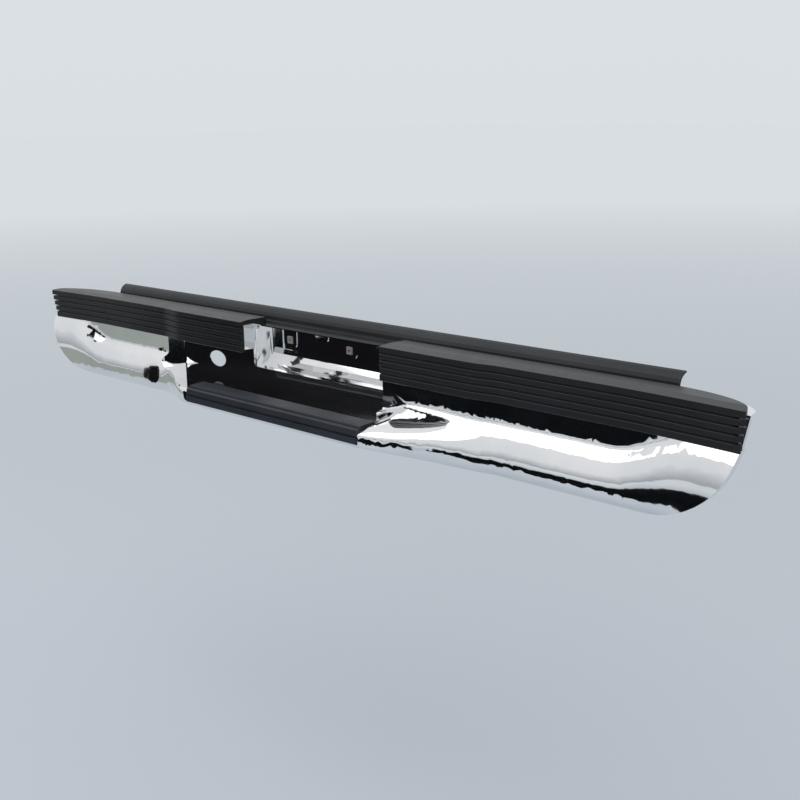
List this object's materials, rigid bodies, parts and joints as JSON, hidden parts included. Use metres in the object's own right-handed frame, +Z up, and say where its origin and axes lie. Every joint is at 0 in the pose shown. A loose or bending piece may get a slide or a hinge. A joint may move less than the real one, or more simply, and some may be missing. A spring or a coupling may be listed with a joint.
{
  "type": "step bumper",
  "caption": "Truck step bumper: chromed face bar with ribbed pads, a recessed step with a tread, a licence plate pocket, an access hole, an air deflector and a bracketed rear frame.",
  "frame": {"origin": "midway between the licence plate's two screw nuts, on the front face of the tabs that carry them", "axes": "+X along the bumper to the right seen from behind the truck, +Y forward to the truck, +Z up"},
  "size_m": [1.94, 0.321, 0.2051],
  "materials": {
    "chrome_steel": "bright chrome on stamped steel",
    "pad_plastic": "black moulded plastic with a slight sheen",
    "tread_plastic": "dark slate grey moulded plastic with a fine grain",
    "deflector_plastic": "black extruded plastic",
    "frame_paint": "black painted steel",
    "plated_steel": "zinc plated",
    "rivet_metal": "black painted aluminium",
    "nut_plastic": "grey plastic"
  },
  "bodies": {
    "root": {"face_bar": "chrome_steel", "left_top_pad": "pad_plastic", "right_top_pad": "pad_plastic", "step_pad": "tread_plastic", "left_pad_retainers": "plated_steel", "right_pad_retainers": "plated_steel", "step_pad_retainers": "plated_steel", "air_deflector": "deflector_plastic", "deflector_rivets": "rivet_metal", "rear_channel": "frame_paint", "left_frame_bracket": "frame_paint", "left_outer_brace": "frame_paint", "left_stud_plate": "plated_steel", "right_frame_bracket": "frame_paint", "right_outer_brace": "frame_paint", "right_stud_plate": "plated_steel", "bracket_bolts": "plated_steel", "bracket_washers": "plated_steel", "bracket_nuts": "plated_steel", "brace_bolts": "plated_steel", "brace_nuts": "plated_steel", "brace_stud_nuts": "plated_steel", "step_plate": "frame_paint", "left_step_gusset": "frame_paint", "right_step_gusset": "frame_paint", "licence_plate_nuts": "nut_plastic"}
  },
  "joints": []
}
